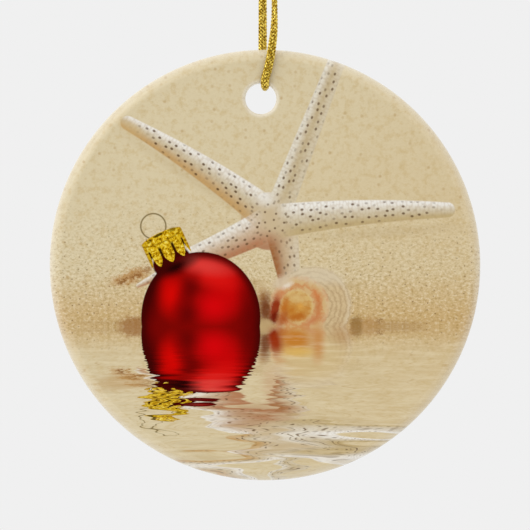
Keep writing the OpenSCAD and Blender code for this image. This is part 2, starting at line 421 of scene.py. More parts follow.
def coat_rows():
    """The coat's skin from the hole over the front and the rounded edge, and back COAT_DEPTH below.

    The first LEFT_OFF circles would narrow the hole, so the coat ends on the hole's rounded edge.
    """
    cos, sin = quarter(COAT_EDGE_CIRCLES)
    mouth, wrap = HOLE_R + HOLE_EDGE_R, HOLE_EDGE_R + COAT_T
    inner_r, inner_wrap = FRONT_EDGE_R - COAT_DEPTH, wrap - COAT_DEPTH
    outside = np.vstack([
        circle_rows(1, mouth - wrap * cos, FRONT_Y + wrap - wrap * sin)[LEFT_OFF:-1],
        face_rows(mouth, DISC_R - FRONT_EDGE_R, FRONT_Y, FACE_CIRCLES)[:-1],
        circle_rows(0, DISC_R - FRONT_EDGE_R + FRONT_EDGE_R * sin,
                    FRONT_Y + FRONT_EDGE_R - FRONT_EDGE_R * cos),
    ])
    inside = np.vstack([
        circle_rows(0, DISC_R - FRONT_EDGE_R + inner_r * sin,
                    FRONT_Y + FRONT_EDGE_R - inner_r * cos)[::-1],
        face_rows(mouth, DISC_R - FRONT_EDGE_R, FRONT_Y + COAT_DEPTH, FACE_CIRCLES)[-2::-1],
        circle_rows(1, mouth - inner_wrap * cos,
                    FRONT_Y + wrap - inner_wrap * sin)[-2:LEFT_OFF - 1:-1],
    ])
    return np.vstack([outside, inside])

# %% [markdown]
# ## Tools for materials
#
# Colours are written as they look on a screen and turned into amounts of light. One helper adds any
# shader node: its settings first, then its inputs, which may be other nodes.

# %% Colours and nodes
def linear(hex_colour):
    """sRGB hex to linear light: c / 12.92 below 0.04045, else ((c + 0.055) / 1.055) ^ 2.4."""
    srgb = np.array([int(hex_colour[i:i + 2], 16) / 255 for i in (1, 3, 5)])
    light = np.where(srgb <= 0.04045, srgb / 12.92, ((srgb + 0.055) / 1.055) ** 2.4)
    return (*light.tolist(), 1.0)


def node(tree, kind, inputs=(), **settings):
    """Adds one node and returns it: settings first, then inputs, by name or by place."""
    new = tree.nodes.new("ShaderNode" + kind)
    for name, value in settings.items():
        setattr(new, name, value)
    open_sockets = [socket for socket in new.inputs if not socket.is_unavailable]
    by_name = inputs if isinstance(inputs, dict) else dict(enumerate(inputs))
    for name, value in by_name.items():
        if isinstance(name, int):
            socket = open_sockets[name]
        else:
            socket = next(one for one in open_sockets if one.name == name)
        if isinstance(value, bpy.types.Node):
            value = next(out for out in value.outputs if not out.is_unavailable)
        if isinstance(value, bpy.types.NodeSocket):
            tree.links.new(value, socket)
        else:
            socket.default_value = value
    return new


def new_material(name):
    """A material, its node tree, and its Principled node, whose own sockets take the constants."""
    material = bpy.data.materials.new(name)
    material.use_nodes = True
    return material, material.node_tree, material.node_tree.nodes["Principled BSDF"]


def group(name, sockets_in, sockets_out):
    """An empty node group with the named inputs and outputs, each a (name, kind) pair."""
    tree = bpy.data.node_groups.new(name, "ShaderNodeTree")
    for in_out, sockets in (("INPUT", sockets_in), ("OUTPUT", sockets_out)):
        for socket_name, kind in sockets:
            tree.interface.new_socket(socket_name, in_out=in_out, socket_type="NodeSocket" + kind)
    given = tree.nodes.new("NodeGroupInput").outputs
    result = tree.nodes.new("NodeGroupOutput").inputs
    return tree, given, result

# %% [markdown]
# Gold braid is spun from thin metal-coated foil round a yellow core. Gold-coloured foil has the
# metal's colour in its mirror light, so it is fully metallic, and it is a little rough from the
# spinning. Its colour is mottled lighter and darker every 0.4 mm: painted glints and shade,
# standing in for bits of foil that catch the light this way or that. The core is coloured near
# black, as painted shade for the gaps between the yarns.

# %% Gold yarn and its core
gold_yarn, tree, shader = new_material("gold_yarn")
shader.inputs["Metallic"].default_value = 1.0
shader.inputs["Roughness"].default_value = 0.26
place = node(tree, "TexCoord").outputs["Object"]
# Painted glints and shade: this noise turns the base colour lighter and darker, as foil facets
# would catch the light.
glint_noise = node(tree, "TexNoise", {"Vector": place, "Scale": 2800.0, "Detail": 1.0})
glint_share = node(tree, "MapRange", [glint_noise, 0.4, 0.6, 0.0, 1.0])
yarn_colour = node(tree, "Mix", {"Factor": glint_share, "A": linear("#A3801C"), "B": linear("#F7DC68")},
                   data_type="RGBA")
tree.links.new(yarn_colour.outputs[2], shader.inputs["Base Color"])

# Painted shade: the real core is yellow, but it is coloured near black to stand for the shade in
# the gaps between the yarns.
core_painted_shade, tree, shader = new_material("core_painted_shade")
shader.inputs["Base Color"].default_value = linear("#2E2405")
shader.inputs["Roughness"].default_value = 0.9

# %% [markdown]
# White glaze is a thin layer of glass over porcelain. Glass bends light by about 1.5, and glaze is
# as smooth as glass, but melted glaze is never quite flat: it has soft waves a few millimetres
# long.

# %% White glaze
GLAZE_WHITE = "#F3F0E9"
white_glaze, tree, shader = new_material("white_glaze")
shader.inputs["Base Color"].default_value = linear(GLAZE_WHITE)
shader.inputs["Roughness"].default_value = 0.1
shader.inputs["IOR"].default_value = 1.52
place = node(tree, "TexCoord").outputs["Object"]
waves = node(tree, "TexNoise", {"Vector": place, "Scale": 160.0, "Detail": 1.0})
bump = node(tree, "Bump", {"Strength": 0.06, "Distance": 0.0003, "Height": waves})
tree.links.new(bump.outputs["Normal"], shader.inputs["Normal"])

# %% [markdown]
# ## The picture
#
# The picture is painted from formulas: a beach at low tide with a white starfish, a red glass ball
# with a crumpled gold cap, and a snail shell, all of them mirrored in shallow water. Positions are
# millimetres from the disc's centre, x to the right and z up. Most of it is laid on like paint, in
# soft ovals called dabs: a point is fully covered inside the oval, not at all outside, and partly
# over an edge whose softness is a share of the oval's size.
#
# Across and Up are the oval's own axes, each divided by its half size, so the distance that they
# measure is 1 on the oval's edge. Two dot products do that with less work than a Mapping node, and
# a picture of a hundred dabs needs that.

# %% Dabs of paint
dab, given, result = group(
    "dab",
    [("Paint", "Color"), ("Point", "Vector"), ("Place", "Vector"), ("Across", "Vector"),
     ("Up", "Vector"), ("Inner", "Float"), ("Outer", "Float"), ("Strength", "Float"),
     ("Colour", "Color")],
    [("Paint", "Color")])
from_place = node(dab, "VectorMath", [given["Point"], given["Place"]], operation="SUBTRACT")
across = node(dab, "VectorMath", [from_place, given["Across"]],
              operation="DOT_PRODUCT").outputs["Value"]
up = node(dab, "VectorMath", [from_place, given["Up"]], operation="DOT_PRODUCT").outputs["Value"]
reach = node(dab, "VectorMath", [node(dab, "CombineXYZ", [across, up])],
             operation="LENGTH").outputs["Value"]
cover = node(dab, "MapRange", [reach, given["Inner"], given["Outer"], given["Strength"], 0.0],
             interpolation_type="SMOOTHSTEP")
paint = node(dab, "Mix", {"Factor": cover, "A": given["Paint"], "B": given["Colour"]},
             data_type="RGBA")
dab.links.new(paint.outputs[2], result["Paint"])


def dabs(tree, paint, point, strokes):
    """Lays soft ovals of colour over paint, one after another.

    A stroke is x, z, half width, half height, turn in degrees, softness, strength, colour.
    """
    for x, z, half_w, half_h, turn, softness, strength, colour in strokes:
        cos, sin = math.cos(math.radians(turn)), math.sin(math.radians(turn))
        paint = node(tree, "Group", {
            "Paint": paint, "Point": point, "Place": (x, z, 0),
            "Across": (cos / half_w, sin / half_w, 0), "Up": (-sin / half_h, cos / half_h, 0),
            "Inner": 1 - softness, "Outer": 1 + softness, "Strength": strength,
            "Colour": linear(colour)}, node_tree=dab)
    return paint

# %% [markdown]
# ### One arm of the starfish
#
# An arm is a tapered bar with a round tip. In its own axes, the part s of its length is 0 at the
# root and 1 at the tip, and q is -1 at one edge and 1 at the other. Light falls off with q, as on a
# round limb. The skin is covered with rows of small beads 0.5 mm apart, and dark pits lie in loose
# rows 1.4 mm apart. Near the root the arm fades into the body.

# %% Starfish arm
PIT_BROWN = "#5F452A"
arm, given, result = group(
    "starfish arm",
    [("Paint", "Color"), ("Point", "Vector"), ("Root", "Vector"), ("Turn", "Vector"),
     ("Length", "Float"), ("Root half width", "Float"), ("Tip half width", "Float"),
     ("Left", "Color"), ("Middle", "Color"), ("Right", "Color"), ("Bow", "Float"),
     ("Pits", "Float"), ("Blend", "Float")],
    [("Paint", "Color")])
local = node(arm, "Mapping", [given["Point"], given["Root"], given["Turn"]], vector_type="TEXTURE")
axes = node(arm, "SeparateXYZ", [local])
along, across = axes.outputs["X"], axes.outputs["Y"]
s = node(arm, "MapRange", [along, 0.0, given["Length"], 0.0, 1.0])
bow = node(arm, "Math", [node(arm, "Math", [1.0, s], operation="SUBTRACT"), s],
           operation="MULTIPLY")
bow = node(arm, "Math", [bow, given["Bow"]], operation="MULTIPLY")
across = node(arm, "Math", [across, bow], operation="SUBTRACT")
half = node(arm, "MapRange", [s, 0.0, 1.0, given["Root half width"], given["Tip half width"]])
nearest = node(arm, "Math", [s, given["Length"]], operation="MULTIPLY")
beyond = node(arm, "Math", [along, nearest], operation="SUBTRACT")
off_axis = node(arm, "VectorMath", [node(arm, "CombineXYZ", [beyond, across])],
                operation="LENGTH").outputs["Value"]
q = node(arm, "Math", [across, half], operation="DIVIDE")
inside = node(arm, "Math", [half, off_axis], operation="SUBTRACT")
cover = node(arm, "MapRange", [inside, -0.12, 0.16, 0.0, 1.0], interpolation_type="SMOOTHSTEP")
root_fade = node(arm, "MapRange", [along, -0.5, given["Blend"], 0.0, 1.0],
                 interpolation_type="SMOOTHSTEP")
cover = node(arm, "Math", [cover, root_fade], operation="MULTIPLY")
to_left = node(arm, "MapRange", [q, -0.1, 0.85, 0.0, 1.0], interpolation_type="SMOOTHSTEP")
to_right = node(arm, "MapRange", [q, 0.1, -0.85, 0.0, 1.0], interpolation_type="SMOOTHSTEP")
skin = node(arm, "Mix", {"Factor": to_left, "A": given["Middle"], "B": given["Left"]},
            data_type="RGBA")
skin = node(arm, "Mix", {"Factor": to_right, "A": skin, "B": given["Right"]}, data_type="RGBA")
skin_place = node(arm, "CombineXYZ", [along, across])
beads_at = node(arm, "VectorMath", [skin_place, (1.7, 1.1, 1.0)], operation="MULTIPLY")
beads = node(arm, "TexVoronoi", {"Vector": beads_at, "Scale": 1.1, "Randomness": 0.7},
             voronoi_dimensions="2D")
grain = node(arm, "MapRange", [beads, 0.3, 0.6, 0.0, 0.24])
skin = node(arm, "Mix", {"Factor": grain, "A": skin, "B": linear("#AE9068")}, data_type="RGBA")
pit_place = node(arm, "CombineXYZ", [node(arm, "Math", [along, 1.4], operation="DIVIDE"),
                                     node(arm, "Math", [across, 1.05], operation="DIVIDE")])
pit = node(arm, "TexVoronoi", {"Vector": pit_place, "Scale": 1.0, "Randomness": 0.65},
           voronoi_dimensions="2D")
pit_depth = node(arm, "SeparateColor", [pit.outputs["Color"]]).outputs["Red"]
pit_depth = node(arm, "MapRange", [pit_depth, 0.1, 0.5, 0.15, given["Pits"]])
pit = node(arm, "MapRange", [pit.outputs["Distance"], 0.1, 0.27, pit_depth, 0.0],
           interpolation_type="SMOOTHSTEP")
edge_fade = node(arm, "MapRange", [node(arm, "Math", [q], operation="ABSOLUTE"), 0.72, 0.98, 1.0,
                                   0.0])
tip_fade = node(arm, "MapRange", [s, 0.86, 1.0, 1.0, 0.0])
pit = node(arm, "Math", [node(arm, "Math", [pit, edge_fade], operation="MULTIPLY"), tip_fade],
           operation="MULTIPLY")
skin = node(arm, "Mix", {"Factor": pit, "A": skin, "B": linear(PIT_BROWN)}, data_type="RGBA")
paint = node(arm, "Mix", {"Factor": cover, "A": given["Paint"], "B": skin}, data_type="RGBA")
arm.links.new(paint.outputs[2], result["Paint"])


def arms(tree, paint, point, limbs):
    """Lays arms over paint. Left, middle and right are colours, as seen from the arm's root.

    A limb is root, tip, half width at the root and at the tip, how far its middle bows to the left,
    how dark its pits are, over how many millimetres it blends into the body, and three colours.
    """
    for root, tip, root_half, tip_half, bow, pits, blend, left, middle, right in limbs:
        (x0, z0), (x1, z1) = root, tip
        paint = node(tree, "Group", {
            "Paint": paint, "Point": point, "Root": (x0, z0, 0),
            "Turn": (0, 0, math.atan2(z1 - z0, x1 - x0)),
            "Length": math.hypot(x1 - x0, z1 - z0),
            "Root half width": root_half, "Tip half width": tip_half,
            "Left": linear(left), "Middle": linear(middle), "Right": linear(right),
            "Bow": 4 * bow, "Pits": pits, "Blend": blend}, node_tree=arm)
    return paint

# %% [markdown]
# ### Water
#
# Below the waterline, a point shows what stands as far above the line, pushed about by ripples.
# Ripples look closer together the further away they are, so their phase is 105 / depth ^ 0.6, down
# to a depth of 2.5 mm; nearer to the waterline they would be too fine to see. They grow with the
# square of the depth: sideways 0.013 depth^2, up and down 0.008 depth^2, each times a noise that
# mostly lies between -1 and 1.

# %% Where each point of the picture looks
picture, given, result = group("beach picture", [("Point", "Vector")], [("Colour", "Color")])
WATERLINE = -10.4
RIPPLES, SIDE_PUSH, HEIGHT_PUSH = 105.0, 0.013, 0.008
NEAREST_RIPPLE = 2.5
axes = node(picture, "SeparateXYZ", [given["Point"]])
x, z = axes.outputs["X"], axes.outputs["Y"]
depth = node(picture, "Math", [WATERLINE, z], operation="SUBTRACT")
depth = node(picture, "Math", [depth, 0.0], operation="MAXIMUM")
in_water = node(picture, "Math", [depth, 0.0], operation="GREATER_THAN")
phase = node(picture, "Math", [depth, NEAREST_RIPPLE], operation="MAXIMUM")
phase = node(picture, "Math", [node(picture, "Math", [phase, -0.6], operation="POWER"), RIPPLES],
             operation="MULTIPLY")
comb_at = node(picture, "CombineXYZ", [node(picture, "Math", [x, 0.05], operation="MULTIPLY"),
                                       phase])
comb = node(picture, "TexNoise", {"Vector": comb_at, "Scale": 1.0, "Detail": 1.5, "Roughness": 0.6},
            noise_dimensions="2D")
swell_at = node(picture, "CombineXYZ", [node(picture, "Math", [x, 0.035], operation="MULTIPLY"),
                                        node(picture, "Math", [phase, 0.8], operation="MULTIPLY")])
swell = node(picture, "TexNoise", {"Vector": swell_at, "Scale": 1.0, "Detail": 1.0,
                                   "Roughness": 0.4}, noise_dimensions="2D")
comb = node(picture, "MapRange", [comb, 0.25, 0.75, -1.0, 1.0], clamp=False)
swell = node(picture, "MapRange", [swell, 0.3, 0.7, -1.0, 1.0], clamp=False)
growth = node(picture, "Math", [depth, 2.0], operation="POWER")
sideways = node(picture, "Math", [node(picture, "Math", [growth, SIDE_PUSH], operation="MULTIPLY"),
                                  comb], operation="MULTIPLY")
up_down = node(picture, "Math", [node(picture, "Math", [growth, HEIGHT_PUSH], operation="MULTIPLY"),
                                 swell], operation="MULTIPLY")
mirrored = node(picture, "Math", [WATERLINE, depth], operation="ADD")
mirrored = node(picture, "Math", [mirrored, up_down], operation="ADD")
seen_z = node(picture, "Mix", {"Factor": in_water, "A": z, "B": mirrored})
seen_x = node(picture, "Math", [x, sideways], operation="ADD")
seen = node(picture, "CombineXYZ", [seen_x, seen_z]).outputs[0]

# %% [markdown]
# ### Sand
#
# Wet and dry sand differ little: a pale yellow that is lighter toward the upper left. The picture
# is sharp at the waterline and soft far behind it, so the grains show most between the two, and so
# do dark bits that lie on it.

# %% Sand
tilt = node(picture, "Math", [seen_x, -0.7, seen_z], operation="MULTIPLY_ADD")
sky_side = node(picture, "MapRange", [tilt, -22.0, 26.0, 0.0, 1.0])
sand = node(picture, "Mix", {"Factor": sky_side, "A": linear("#D5C096"), "B": linear("#D9CAA6")},
            data_type="RGBA")
cloudy = node(picture, "TexNoise", {"Vector": seen, "Scale": 0.22, "Detail": 3.0, "Roughness": 0.6},
              noise_dimensions="2D")
cloudy = node(picture, "MapRange", [cloudy, 0.35, 0.75, 0.0, 0.3])
sand = node(picture, "Mix", {"Factor": cloudy, "A": sand, "B": linear("#DCCDA9")}, data_type="RGBA")
focus = node(picture, "MapRange", [seen_z, 15.0, -4.0, 0.12, 1.0], interpolation_type="SMOOTHSTEP")
wet_calm = node(picture, "MapRange", [depth, 0.0, 5.0, 1.0, 0.10])
focus = node(picture, "Math", [focus, wet_calm], operation="MULTIPLY")
golden = node(picture, "MapRange", [seen_z, -1.0, -8.0, 0.0, 0.6])
golden = node(picture, "Math", [golden, wet_calm], operation="MULTIPLY")
sand = node(picture, "Mix", {"Factor": golden, "A": sand, "B": linear("#C59E5E")}, data_type="RGBA")
blot = node(picture, "TexNoise", {"Vector": seen, "Scale": 0.75, "Detail": 3.0, "Roughness": 0.65},
            noise_dimensions="2D")
blot = node(picture, "MapRange", [blot, 0.47, 0.75, 0.0, 0.42])
sand = node(picture, "Mix", {"Factor": blot, "A": sand, "B": linear("#C2A467")}, data_type="RGBA")
flat = node(picture, "VectorMath", [seen, (0.75, 1.2, 1.0)], operation="MULTIPLY")
grain = node(picture, "TexNoise", {"Vector": flat, "Scale": 2.0, "Detail": 2.0, "Roughness": 0.8},
             noise_dimensions="2D")
dark_grain = node(picture, "MapRange", [grain, 0.47, 0.25, 0.0, 0.65])
dark_grain = node(picture, "Math", [dark_grain, focus], operation="MULTIPLY")
sand = node(picture, "Mix", {"Factor": dark_grain, "A": sand, "B": linear("#A3854C")},
            data_type="RGBA")
light_grain = node(picture, "MapRange", [grain, 0.52, 0.72, 0.0, 0.5])
light_grain = node(picture, "Math", [light_grain, focus], operation="MULTIPLY")
sand = node(picture, "Mix", {"Factor": light_grain, "A": sand, "B": linear("#EFE3C4")},
            data_type="RGBA")
for scale, size, most, colour, amount in ((0.36, 0.14, 0.5, "#B08A4E", 1.0),
                                          (0.8, 0.15, 0.9, "#7A5A30", focus)):
    bits = node(picture, "TexVoronoi", {"Vector": seen, "Scale": scale, "Randomness": 1.0},
                voronoi_dimensions="2D")
    strength = node(picture, "SeparateColor", [bits.outputs["Color"]]).outputs["Red"]
    strength = node(picture, "MapRange", [strength, 0.4, 1.0, 0.0, most])
    bits = node(picture, "MapRange", [bits.outputs["Distance"], 0.03, size, strength, 0.0],
                interpolation_type="SMOOTHSTEP")
    bits = node(picture, "Math", [bits, amount], operation="MULTIPLY")
    sand = node(picture, "Mix", {"Factor": bits, "A": sand, "B": linear(colour)},
                data_type="RGBA").outputs[2]

# %% [markdown]
# Dark lumps of wet sand lie along the waterline. They are dabs whose point is shaken by noise,
# which breaks up the oval's edge. The starfish throws a faint shadow too.

# %% Wet lumps
shake = node(picture, "TexNoise", {"Vector": seen, "Scale": 1.3, "Detail": 4.0, "Roughness": 0.8},
             noise_dimensions="2D")
shake = node(picture, "VectorMath", [shake.outputs["Color"], (0.5, 0.5, 0.5)], operation="SUBTRACT")
shaken = node(picture, "VectorMath", {0: shake, 1: (4.0, 3.0, 0.0), 2: seen},
              operation="MULTIPLY_ADD").outputs[0]
curled = node(picture, "VectorMath", {0: shake, 1: (0.9, 0.9, 0.0), 2: seen},
              operation="MULTIPLY_ADD").outputs[0]
paint = dabs(picture, sand, shaken, [
    (-22.6, -1.9, 3.3, 1.0, 20, 0.5, 0.75, "#B5813F"),
    (-24.0, -2.7, 0.9, 0.4, 20, 0.6, 0.8, "#7A4A1C"),
    (-22.0, -1.9, 0.8, 0.4, 20, 0.6, 0.8, "#84501F"),
    (-20.0, -0.7, 1.0, 0.4, 25, 0.6, 0.6, "#8E6230"),
    (-22.0, -10.0, 2.6, 1.2, 0, 0.5, 0.75, "#96602E"),
    (-27.0, -9.8, 5.0, 0.5, 0, 0.5, 0.3, "#A98752"),
    (17.0, -10.0, 2.8, 1.1, 0, 0.5, 0.55, "#AD7F48"),
    (14.9, -9.6, 0.5, 0.4, 0, 0.8, 0.35, "#8E6230"),
    (19.3, -9.4, 0.4, 0.4, 0, 0.5, 0.7, "#7E5428"),
    (22.5, -10.1, 4.2, 0.6, 0, 0.6, 0.45, "#A27C4A"),
    (26.0, -9.6, 9.0, 0.9, 0, 0.8, 0.15, "#B8935A"),
    (-1.5, -3.0, 1.3, 0.6, 0, 0.5, 0.4, "#B08F58"),
    (14.5, -3.5, 2.0, 0.6, 0, 0.5, 0.35, "#B59860"),
])
paint = dabs(picture, paint, seen, [
    (-12.0, 14.4, 13.0, 0.9, -33, 0.8, 0.25, "#B59C70"),
    (19.0, 5.4, 12.0, 0.8, 4, 0.8, 0.25, "#B59C70"),
])

# %% [markdown]
# ### Starfish
#
# The body is laid first, then the five arms that grow out of it: down behind the shell, down to the
# left behind the ball, up to the rim, up to the left, and right. The upper sides are nearly white
# and the lower ones brown or pink.

# %% Starfish
BODY_CENTRE, BODY_R = (0.8, 7.4, 0.0), 4.9
body = dabs(picture, linear("#CBB692"), seen, [
    (-0.4, 11.6, 2.0, 1.3, -20, 0.8, 0.9, "#E9E4D9"),
    (4.4, 9.6, 1.8, 1.5, 0, 0.9, 0.7, "#DCD2BC"),
    (-3.4, 7.0, 1.8, 1.6, 40, 0.9, 0.7, "#C09E70"),
    (0.4, 3.6, 3.0, 1.6, 0, 0.9, 0.8, "#BA8F6C"),
    (0.0, 3.0, 2.0, 0.6, 5, 0.9, 0.6, "#A9704C"),
])
from_body = node(picture, "VectorMath", [seen, BODY_CENTRE], operation="DISTANCE").outputs["Value"]
body_cover = node(picture, "MapRange", [from_body, BODY_R - 0.1, BODY_R + 0.1, 1.0, 0.0])
paint = node(picture, "Mix", {"Factor": body_cover, "A": paint, "B": body},
             data_type="RGBA").outputs[2]
paint = arms(picture, paint, seen, [
    ((2.8, 6.0), (4.3, -3.5), 2.8, 1.75, 0.0, 0.7, 3.5, "#D6C7AC", "#C7AE8C", "#A0683E"),
    ((-12.0, 1.2), (-21.4, -3.5), 1.6, 0.35, 0.0, 0.5, 1.0, "#B67F5C", "#CDB497", "#EAE4D8"),
    ((0.6, 7.0), (-13.0, 0.7), 2.9, 2.0, 0.2, 0.75, 3.5, "#B47C58", "#CEB598", "#ECE7DC"),
    ((1.95, 8.4), (12.75, 36.0), 2.3, 1.45, 0.0, 0.8, 5.0, "#E2DBCA", "#C6B48F", "#D3C6AA"),
    ((0.0, 8.8), (-23.2, 24.0), 2.9, 1.2, -0.55, 0.9, 4.0, "#C59F68", "#CFC0A1", "#EDE8DE"),
    ((1.6, 7.3), (30.8, 9.3), 2.95, 1.3, 0.55, 0.85, 4.0, "#EFEBE2", "#D3C6AB", "#C2AC7D"),
])
paint = dabs(picture, paint, seen, [
    (-22.6, 23.2, 2.2, 0.9, -35, 0.8, 0.55, "#CDB07A"),
])
body_pits = node(picture, "TexVoronoi", {"Vector": seen, "Scale": 0.72, "Randomness": 0.6},
                 voronoi_dimensions="2D")
body_pits = node(picture, "MapRange", [body_pits, 0.07, 0.2, 0.8, 0.0],
                 interpolation_type="SMOOTHSTEP")
only_body = node(picture, "MapRange", [from_body, 2.6, 3.8, 1.0, 0.0])
body_pits = node(picture, "Math", [body_pits, only_body], operation="MULTIPLY")
paint = node(picture, "Mix", {"Factor": body_pits, "A": paint, "B": linear(PIT_BROWN)},
             data_type="RGBA").outputs[2]

# %% [markdown]
# ### Snail shell
#
# The shell is seen down its axis: turns of growing size about nearly the same centre, the outer
# ones thin and translucent, the tip amber. Each turn has ribs across it and growth lines along it,
# both of them bent by noise.

# %% Snail shell
whorl, whorl_given, whorl_result = group(
    "shell whorl",
    [("Paint", "Color"), ("Point", "Vector"), ("Centre", "Vector"), ("Radius", "Float"),
     ("Body", "Color"), ("Rib", "Color"), ("Edge", "Color"), ("Ribs", "Float"),
     ("Rib strength", "Float"), ("Lines", "Float"), ("Strength", "Float")],
    [("Paint", "Color")])
local = node(whorl, "VectorMath", [whorl_given["Point"], whorl_given["Centre"]],
             operation="SUBTRACT")
bend = node(whorl, "TexNoise", {"Vector": whorl_given["Point"], "Scale": 0.8, "Detail": 2.0},
            noise_dimensions="2D")
axes = node(whorl, "SeparateXYZ", [local])
angle = node(whorl, "Math", [axes.outputs["Y"], axes.outputs["X"]], operation="ARCTAN2")
out_to = node(whorl, "VectorMath", [local], operation="LENGTH").outputs["Value"]
out_to = node(whorl, "Math", [out_to, whorl_given["Radius"]], operation="DIVIDE")
cover = node(whorl, "MapRange", [out_to, 0.95, 1.05, whorl_given["Strength"], 0.0],
             interpolation_type="SMOOTHSTEP")
ribs = node(whorl, "Math", [angle, whorl_given["Ribs"]], operation="MULTIPLY")
ribs = node(whorl, "Math", [bend, 9.0, ribs], operation="MULTIPLY_ADD")
ribs = node(whorl, "MapRange", [node(whorl, "Math", [ribs], operation="SINE"), 0.0, 1.0, 0.0,
                                whorl_given["Rib strength"]])
coat = node(whorl, "Mix", {"Factor": ribs, "A": whorl_given["Body"], "B": whorl_given["Rib"]},
            data_type="RGBA")
edge = node(whorl, "MapRange", [out_to, 0.82, 0.98, 0.0, 0.55], interpolation_type="SMOOTHSTEP")
coat = node(whorl, "Mix", {"Factor": edge, "A": coat, "B": whorl_given["Edge"]}, data_type="RGBA")
lines = node(whorl, "Math", [out_to, whorl_given["Lines"]], operation="MULTIPLY")
lines = node(whorl, "Math", [bend, 5.0, lines], operation="MULTIPLY_ADD")
lines = node(whorl, "MapRange", [node(whorl, "Math", [lines], operation="SINE"), 0.0, 1.0, 0.0,
                                 0.5])
coat = node(whorl, "Mix", {"Factor": lines, "A": coat, "B": whorl_given["Rib"]}, data_type="RGBA")
whorl_paint = node(whorl, "Mix", {"Factor": cover, "A": whorl_given["Paint"], "B": coat},
                   data_type="RGBA")
whorl.links.new(whorl_paint.outputs[2], whorl_result["Paint"])

paint = dabs(picture, paint, curled, [
    (-0.3, -5.4, 0.9, 1.3, 0, 0.9, 0.6, "#9A642C"),
    (0.1, -7.6, 1.1, 2.3, 0, 0.7, 0.9, "#6B2A06"),
])
for centre, radius, body, rib, rim, ribs, rib_strength, lines, strength in [
        ((8.0, -6.9), 6.6, "#D2BA90", "#A5835A", "#DCCDB0", 17.0, 0.2, 50.0, 0.9),
        ((5.85, -6.9), 4.95, "#D3B07A", "#C9763C", "#D6C09A", 7.0, 0.4, 17.0, 0.95),
        ((5.35, -6.95), 2.85, "#D3AE6A", "#BC7424", "#DAC290", 9.0, 0.5, 9.0, 0.95)]:
    paint = node(picture, "Group", {
        "Paint": paint, "Point": curled, "Centre": (*centre, 0), "Radius": radius,
        "Body": linear(body), "Rib": linear(rib), "Edge": linear(rim),
        "Ribs": ribs, "Rib strength": rib_strength, "Lines": lines,
        "Strength": strength}, node_tree=whorl)
paint = dabs(picture, paint, curled, [
    (9.0, -1.9, 4.2, 1.1, -8, 0.8, 0.6, "#DACDB2"),
    (2.8, -2.8, 1.7, 0.9, 30, 0.6, 0.85, "#D6C2A4"),
    (3.7, -3.5, 1.0, 0.4, 30, 0.8, 0.8, "#E8DDCA"),
    (5.2, -7.5, 2.1, 1.8, 0, 0.6, 0.75, "#C68530"),
    (5.5, -5.6, 1.6, 0.7, -10, 0.8, 0.7, "#DABC7E"),
    (6.0, -7.0, 0.5, 0.5, 0, 0.9, 0.6, "#E0A850"),
    (4.6, -7.6, 0.5, 0.5, 0, 0.9, 0.6, "#B9680F"),
    (5.4, -8.8, 1.7, 0.6, 10, 0.7, 0.8, "#B5621A"),
    (3.3, -7.1, 0.6, 1.6, -10, 0.8, 0.8, "#BC6A22"),
    (8.6, -4.9, 0.5, 0.9, 25, 0.9, 0.6, "#CE7840"),
    (8.9, -6.9, 0.5, 1.3, -5, 0.9, 0.65, "#C06A34"),
    (8.3, -9.3, 1.4, 0.6, 25, 0.8, 0.65, "#C4744A"),
    (1.7, -7.3, 0.75, 2.3, -12, 0.5, 0.95, "#8E2400"),
    (1.6, -8.9, 0.7, 1.0, -20, 0.6, 0.9, "#6C1402"),
    (2.9, -9.2, 0.8, 1.4, -30, 0.8, 0.8, "#A84A14"),
    (2.5, -4.9, 1.0, 0.7, 40, 0.9, 0.6, "#CC7C50"),
    (0.15, -10.3, 1.2, 1.2, 0, 0.3, 0.85, "#BFA273"),
    (15.4, -9.9, 1.0, 1.2, 0, 0.4, 0.75, "#94703C"),
])

# %% [markdown]
# ### Glass ball and its cap
#
# The ball is deep red glass with soft brighter and darker spots, and darkens toward its edge. Its
# gold cap stands 25 degrees askew: a round crimped band, drawn in its own axes a across and b up,
# with hanging teeth every 18 degrees of its turn, so the teeth look narrower toward its sides. The
# band reaches from low, which rises between the teeth, to top. A wire ring stands behind it.

# %% Glass ball
BALL_CENTRE, BALL_HALF = (-10.83, -8.9, 0.0), (10.06, 11.1, 1.0)
neck = (-15.7, 0.5, 3.3, 2.6, 25, 0.05, 1.0, "#3E0400")
paint = dabs(picture, paint, seen, [neck])
ball = dabs(picture, linear("#6C0200"), seen, [
    (-9.6, -7.0, 8.2, 9.0, 0, 0.9, 0.5, "#980400"),
    (-15.7, -5.1, 1.9, 2.8, 6, 0.95, 1.0, "#D40400"),
    (-8.5, -6.9, 2.7, 2.4, 15, 0.95, 0.95, "#D80208"),
    (-6.6, -3.4, 2.5, 3.6, 30, 0.95, 0.85, "#CE0204"),
    (-8.8, -1.9, 3.6, 1.6, -14, 0.95, 0.9, "#DE1410"),
    (-10.2, -0.1, 3.6, 1.2, -10, 0.95, 0.95, "#E03C36"),
    (-12.6, 0.9, 1.2, 0.8, 20, 0.9, 0.8, "#A83C34"),
    (-13.1, -4.4, 1.2, 2.6, -30, 0.95, 0.6, "#5C0000"),
    (-13.4, -8.0, 1.8, 1.6, 0, 0.95, 0.55, "#4A0000"),
    (-15.2, -0.3, 2.9, 1.1, 24, 0.9, 1.0, "#1E0000"),
    (-19.6, -4.5, 1.5, 5.5, -10, 0.95, 0.8, "#300000"),
    (-2.2, -8.5, 1.6, 6.0, 8, 0.95, 0.55, "#500000"),
])
ball_at = node(picture, "Mapping", [seen, BALL_CENTRE, (0, 0, 0), BALL_HALF], vector_type="TEXTURE")
ball_at = node(picture, "VectorMath", [ball_at], operation="LENGTH").outputs["Value"]
ball_cover = node(picture, "MapRange", [ball_at, 0.992, 1.008, 1.0, 0.0],
                  interpolation_type="SMOOTHSTEP")
